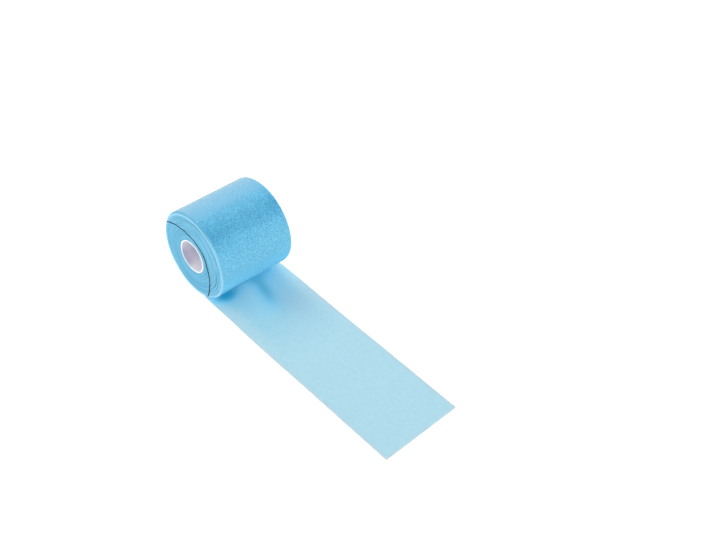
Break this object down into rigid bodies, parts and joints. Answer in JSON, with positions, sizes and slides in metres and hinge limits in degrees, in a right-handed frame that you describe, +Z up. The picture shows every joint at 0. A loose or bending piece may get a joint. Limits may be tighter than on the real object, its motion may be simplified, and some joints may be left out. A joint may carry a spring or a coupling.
{
  "type": "pre-wrap roll",
  "caption": "Roll of thin blue foam pre-wrap for skin under athletic tape, wound on a white tube, with its loose end laid out flat.",
  "frame": {"origin": "the middle of the flat spot that the roll rests on, straight under the roll's axis and half-way along it, on the surface", "axes": "+X the way the loose end runs out, +Y along the roll's axis away from the end with the slit, +Z up"},
  "size_m": [0.2508, 0.071, 0.0724],
  "materials": {
    "tube": "satin white, slightly lavender in its own shade",
    "foam_wound": "matt open-cell foam, many turns thick, fine pores",
    "foam_loose": "matt open-cell foam, one layer, lets the light of the surface below through"
  },
  "bodies": {
    "root": {"core_tube": "tube", "wound_roll": "foam_wound", "loose_end": "foam_loose"}
  },
  "joints": []
}
